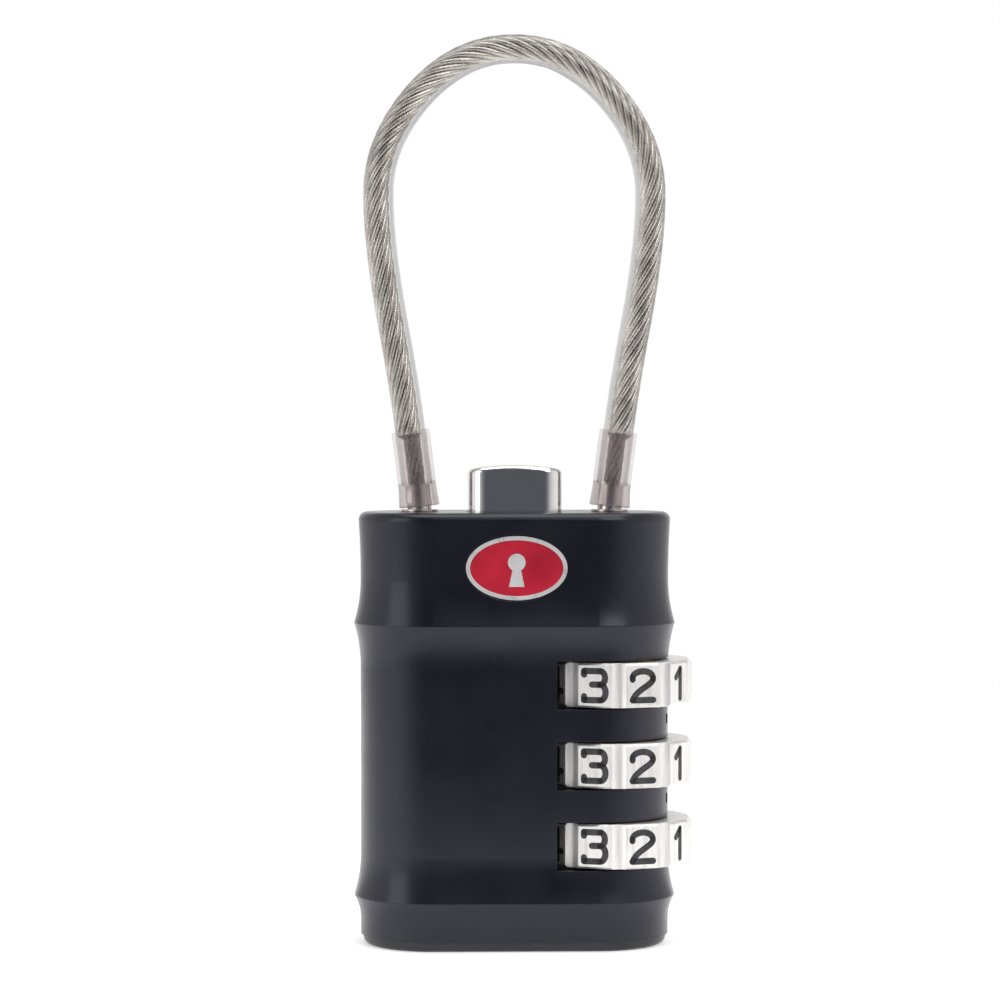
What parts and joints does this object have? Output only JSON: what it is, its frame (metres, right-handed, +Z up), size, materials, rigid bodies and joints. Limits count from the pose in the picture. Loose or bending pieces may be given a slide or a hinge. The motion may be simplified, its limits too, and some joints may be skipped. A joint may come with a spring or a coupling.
{
  "type": "cable luggage lock",
  "caption": "Combination luggage lock with a clear-jacketed wire cable loop, side dials, a top push button and an inspector's key cylinder in the base.",
  "frame": {"origin": "middle of the flat underside of the bottom cover", "axes": "+Z up along the body to the cable loop, +X towards the end with the dials, -Y is the front with the badge"},
  "size_m": [0.0331, 0.0156, 0.0894],
  "materials": {
    "black_paint": "gloss black enamel over a zinc casting",
    "black_cover": "gloss black",
    "chrome": "bright plated",
    "red_enamel": "glossy red",
    "steel": "plain",
    "spring_steel": "drawn wire and strip",
    "wire_rope": "twisted strands",
    "clear_vinyl": "clear",
    "brass": "machined",
    "acetal": "moulded"
  },
  "bodies": {
    "lock_body": {"housing_shell": "black_paint", "bottom_cover": "black_cover", "cover_screws": "steel", "badge_plate": "chrome", "badge_enamel": "red_enamel", "inner_frame": "acetal", "detent_leaf": "spring_steel", "leaf_rivets": "brass", "return_spring": "spring_steel", "latch_springs": "spring_steel", "stack_spring": "spring_steel", "key_cylinder": "brass", "fixed_ferrule": "chrome", "fixed_sleeve": "clear_vinyl", "ferrule_dowel": "steel", "cable_rope": "wire_rope", "cable_jacket": "clear_vinyl"},
    "button_group": {"button": "chrome", "button_screw": "steel", "carriage": "steel", "spindle": "steel", "spindle_screw": "steel"},
    "latch_group": {"latch_bolt": "steel", "catch_wire": "spring_steel"},
    "key_group": {"key_plug": "brass", "key_wafers": "brass", "plug_clip": "spring_steel", "key_tail": "steel"},
    "reset_group": {"reset_pusher": "acetal"},
    "free_end": {"free_ferrule": "chrome", "free_sleeve": "clear_vinyl"},
    "bottom_dial": {"dial_bottom": "chrome"},
    "bottom_sleeve": {"sleeve_bottom": "brass"},
    "middle_dial": {"dial_middle": "chrome"},
    "middle_sleeve": {"sleeve_middle": "brass"},
    "top_dial": {"dial_top": "chrome"},
    "top_sleeve": {"sleeve_top": "brass"}
  },
  "joints": [
    {"name": "bottom_dial_turn", "type": "hinge", "parent": "lock_body", "child": "bottom_dial", "pos_m": [0.00985, 0, 0.01025], "axis": [0, 0, 1], "continuous": true, "deforming": ["detent_leaf"]},
    {"name": "middle_dial_turn", "type": "hinge", "parent": "lock_body", "child": "middle_dial", "pos_m": [0.00985, 0, 0.01805], "axis": [0, 0, 1], "continuous": true, "deforming": ["detent_leaf"]},
    {"name": "top_dial_turn", "type": "hinge", "parent": "lock_body", "child": "top_dial", "pos_m": [0.00985, 0, 0.02585], "axis": [0, 0, 1], "continuous": true, "deforming": ["detent_leaf"]},
    {"name": "button_press", "type": "slide", "parent": "lock_body", "child": "button_group", "axis": [0, 0, -1], "range_m": [0, 0.0024], "stiffness_N_per_m": 800, "springref_m": -0.002, "deforming": ["return_spring"]},
    {"name": "latch_slide", "type": "slide", "parent": "lock_body", "child": "latch_group", "axis": [1, 0, 0], "range_m": [0, 0.0012], "deforming": ["latch_springs"]},
    {"name": "key_turn", "type": "hinge", "parent": "lock_body", "child": "key_group", "pos_m": [-0.0056, 0, 0.01], "axis": [0, 0, 1], "range_deg": [0, 90]},
    {"name": "reset_press", "type": "slide", "parent": "lock_body", "child": "reset_group", "axis": [0, 0, 1], "range_m": [0, 0.0012], "stiffness_N_per_m": 600, "springref_m": -0.001, "deforming": ["stack_spring"]},
    {"name": "bottom_sleeve_shift", "type": "slide", "parent": "bottom_dial", "child": "bottom_sleeve", "axis": [0, 0, 1], "range_m": [0, 0.0012]},
    {"name": "middle_sleeve_shift", "type": "slide", "parent": "middle_dial", "child": "middle_sleeve", "axis": [0, 0, 1], "range_m": [0, 0.0012]},
    {"name": "top_sleeve_shift", "type": "slide", "parent": "top_dial", "child": "top_sleeve", "axis": [0, 0, 1], "range_m": [0, 0.0012]},
    {"name": "cable_pull", "type": "slide", "parent": "lock_body", "child": "free_end", "axis": [0, 0, 1], "range_m": [0, 0.011], "deforming": ["cable_rope", "cable_jacket", "catch_wire"]}
  ],
  "couplings": [
    {"joint": "latch_slide", "follows": "button_press", "ratio": 0.5},
    {"joint": "bottom_sleeve_shift", "follows": "reset_press", "ratio": 1},
    {"joint": "middle_sleeve_shift", "follows": "reset_press", "ratio": 1},
    {"joint": "top_sleeve_shift", "follows": "reset_press", "ratio": 1}
  ]
}
